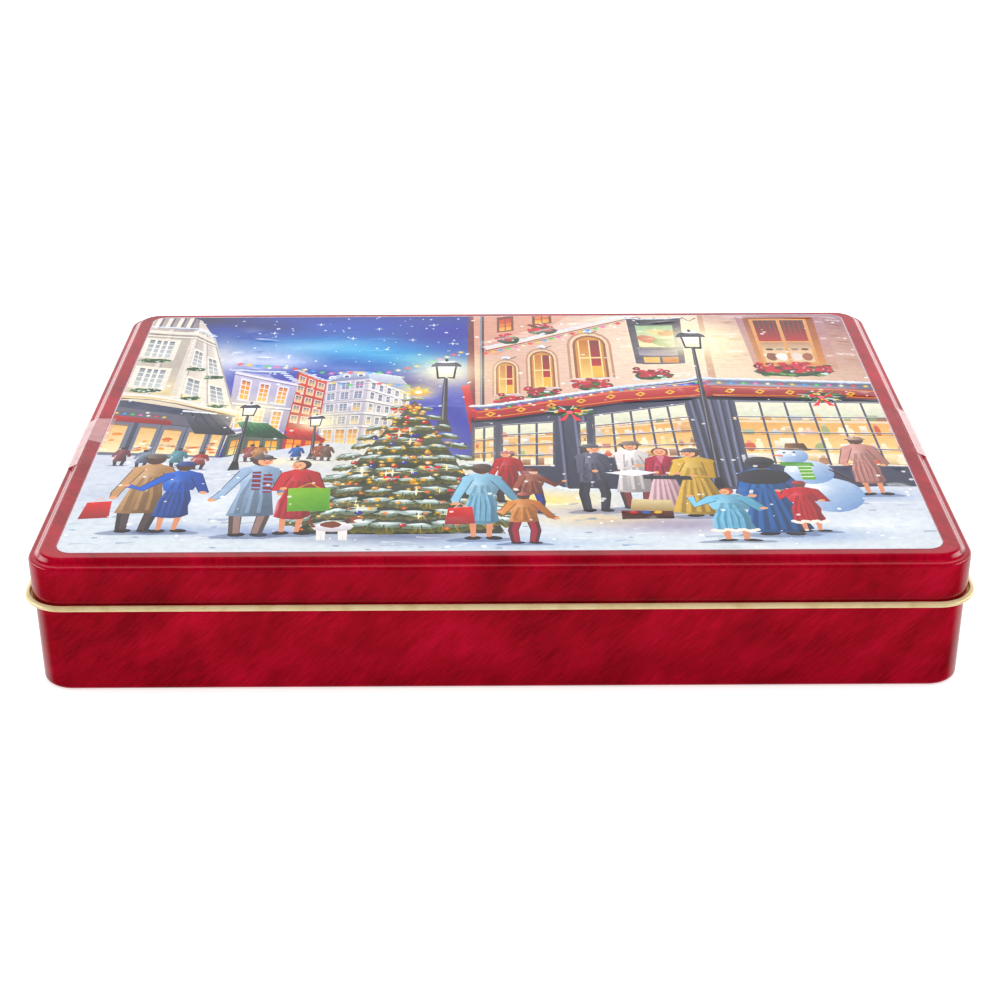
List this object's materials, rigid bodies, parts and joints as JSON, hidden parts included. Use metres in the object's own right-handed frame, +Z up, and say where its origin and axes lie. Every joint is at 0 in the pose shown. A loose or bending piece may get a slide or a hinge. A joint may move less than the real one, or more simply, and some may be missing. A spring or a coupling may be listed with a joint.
{
  "type": "slip-lid gift tin",
  "caption": "Shallow rectangular tinplate gift tin with a slip-on stepped lid, rolled lid edge, printed winter street panel and clear tape seals.",
  "frame": {"origin": "middle of the base, on the plane that the tin stands on", "axes": "+X along the long side, towards the right; +Y towards the back; +Z up"},
  "size_m": [0.305, 0.2218, 0.0473],
  "materials": {
    "printed_tinplate": "glossy crimson print with a brushed, mottled look under clear varnish",
    "gold_lacquer": "pale gold lacquer on tinplate, satin",
    "clear_film": "clear adhesive film, slightly hazy"
  },
  "bodies": {
    "tin_body": {"body_shell": "printed_tinplate", "body_rim": "printed_tinplate", "seal_left_tail": "clear_film", "seal_right_tail": "clear_film"},
    "lid": {"lid_shell": "printed_tinplate", "lid_curl": "gold_lacquer", "seal_left": "clear_film", "seal_right": "clear_film"}
  },
  "joints": [
    {"name": "lid_lift", "type": "slide", "parent": "tin_body", "child": "lid", "axis": [0, 0, 1], "range_m": [0, 0.06]}
  ]
}
